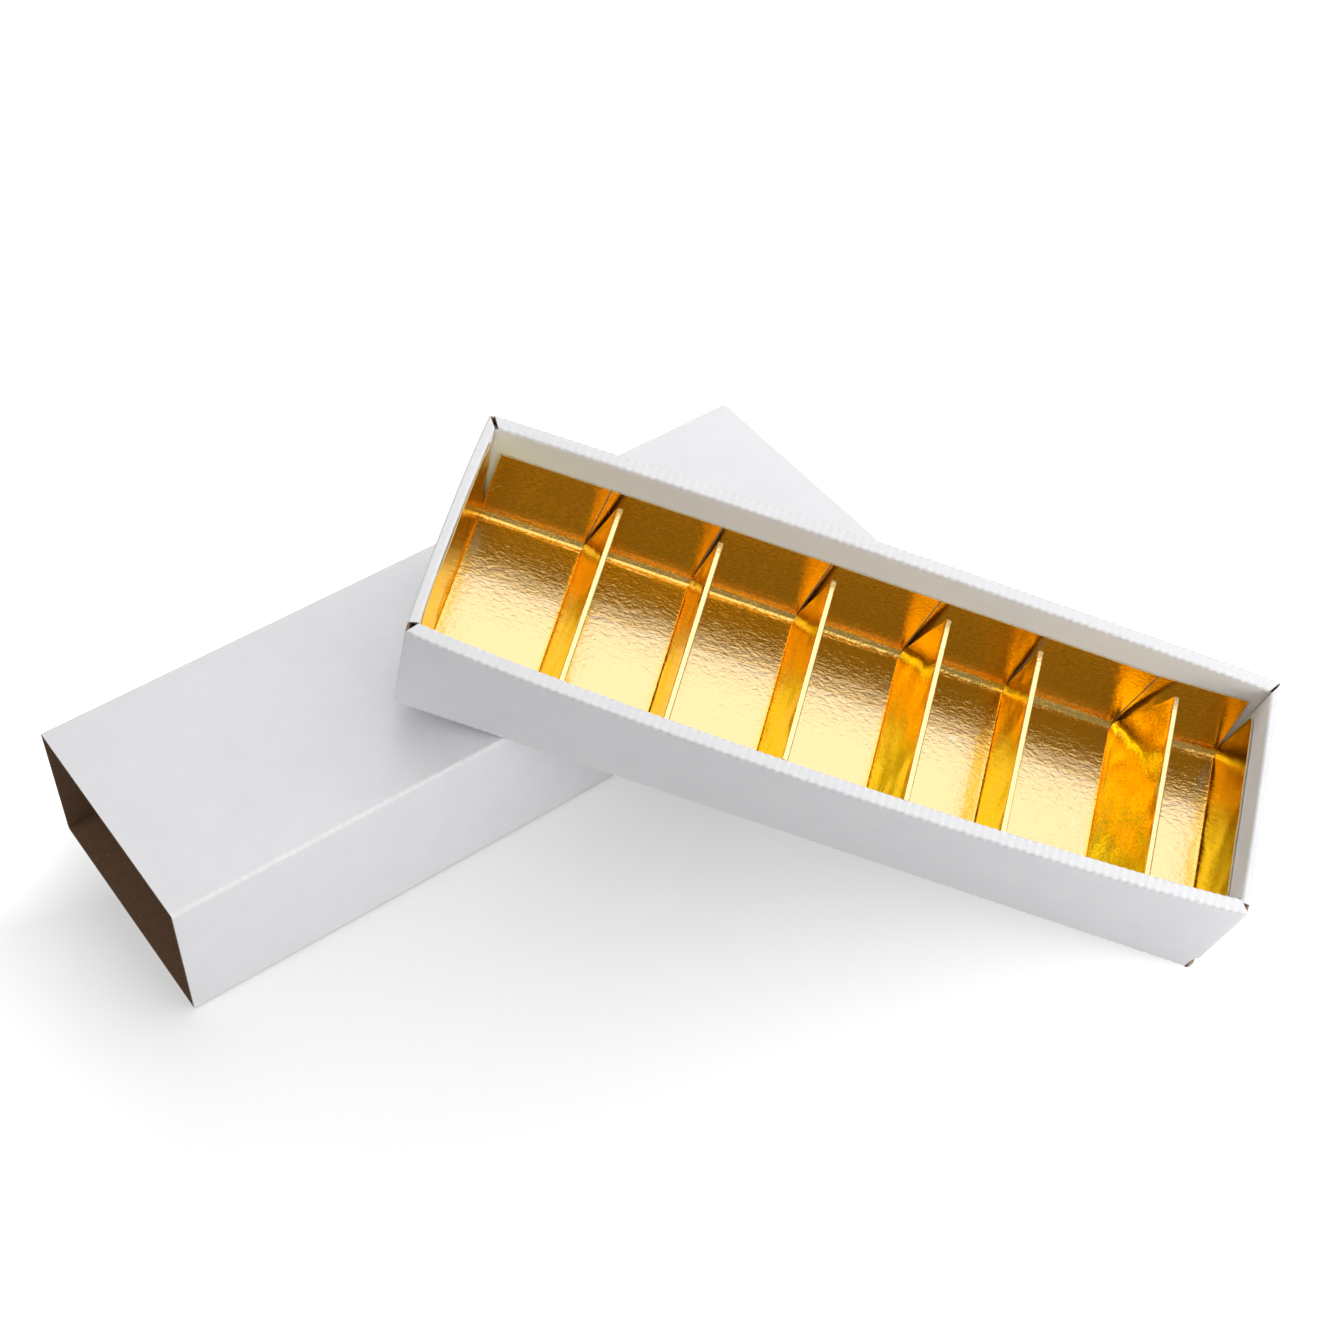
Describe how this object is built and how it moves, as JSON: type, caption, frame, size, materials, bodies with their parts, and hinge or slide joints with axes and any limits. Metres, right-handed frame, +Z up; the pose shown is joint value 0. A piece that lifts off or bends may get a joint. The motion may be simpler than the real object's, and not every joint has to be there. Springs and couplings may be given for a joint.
{
  "type": "chocolate box",
  "caption": "Long slide-out chocolate box: a plain open-ended board sleeve, and a double-walled tray with a folded gold card insert that divides it into compartments.",
  "frame": {"origin": "centre of the sleeve's underside, on the table", "axes": "+X along the sleeve's length, +Y across it and away from the tray's table corner, +Z up"},
  "size_m": [0.2706, 0.2226, 0.0955],
  "materials": {
    "sleeve_board": "white-lined microflute board, matt, brown kraft inside",
    "tray_board": "white-lined microflute board, matt, brown raw edges",
    "gold_card": "gold foil laminated card, mirror bright with a fine crinkle"
  },
  "bodies": {
    "sleeve": {"sleeve_bottom_panel": "sleeve_board", "sleeve_far_side_panel": "sleeve_board", "sleeve_glue_flap": "sleeve_board", "sleeve_near_side_panel": "sleeve_board", "sleeve_top_panel": "sleeve_board"},
    "tray": {"tray_back_inner_wall": "tray_board", "tray_back_left_corner_flap": "tray_board", "tray_back_outer_wall": "tray_board", "tray_back_right_corner_flap": "tray_board", "tray_back_rim": "tray_board", "tray_base_panel": "tray_board", "tray_front_inner_wall": "tray_board", "tray_front_left_corner_flap": "tray_board", "tray_front_outer_wall": "tray_board", "tray_front_right_corner_flap": "tray_board", "tray_front_rim": "tray_board", "tray_left_inner_wall": "tray_board", "tray_left_outer_wall": "tray_board", "tray_left_rim": "tray_board", "tray_right_inner_wall": "tray_board", "tray_right_outer_wall": "tray_board", "tray_right_rim": "tray_board"},
    "insert": {"insert_back_flap_1": "gold_card", "insert_back_flap_2": "gold_card", "insert_back_flap_3": "gold_card", "insert_back_flap_4": "gold_card", "insert_back_flap_5": "gold_card", "insert_back_flap_6": "gold_card", "insert_back_flap_7": "gold_card", "insert_divider_1_left_face": "gold_card", "insert_divider_1_right_face": "gold_card", "insert_divider_2_left_face": "gold_card", "insert_divider_2_right_face": "gold_card", "insert_divider_3_left_face": "gold_card", "insert_divider_3_right_face": "gold_card", "insert_divider_4_left_face": "gold_card", "insert_divider_4_right_face": "gold_card", "insert_divider_5_left_face": "gold_card", "insert_divider_5_right_face": "gold_card", "insert_divider_6_left_face": "gold_card", "insert_divider_6_right_face": "gold_card", "insert_floor_1": "gold_card", "insert_floor_2": "gold_card", "insert_floor_3": "gold_card", "insert_floor_4": "gold_card", "insert_floor_5": "gold_card", "insert_floor_6": "gold_card", "insert_floor_7": "gold_card", "insert_front_flap_1": "gold_card", "insert_front_flap_2": "gold_card", "insert_front_flap_3": "gold_card", "insert_front_flap_4": "gold_card", "insert_front_flap_5": "gold_card", "insert_front_flap_6": "gold_card", "insert_front_flap_7": "gold_card", "insert_left_end_flap": "gold_card", "insert_right_end_flap": "gold_card"}
  },
  "joints": [
    {"name": "tray_lift", "type": "slide", "parent": "sleeve", "child": "tray", "axis": [0, 0, 1], "range_m": [0, 0.1]},
    {"name": "insert_lift", "type": "slide", "parent": "tray", "child": "insert", "axis": [0, -0.2772, 0.9608], "range_m": [0, 0.06]}
  ]
}
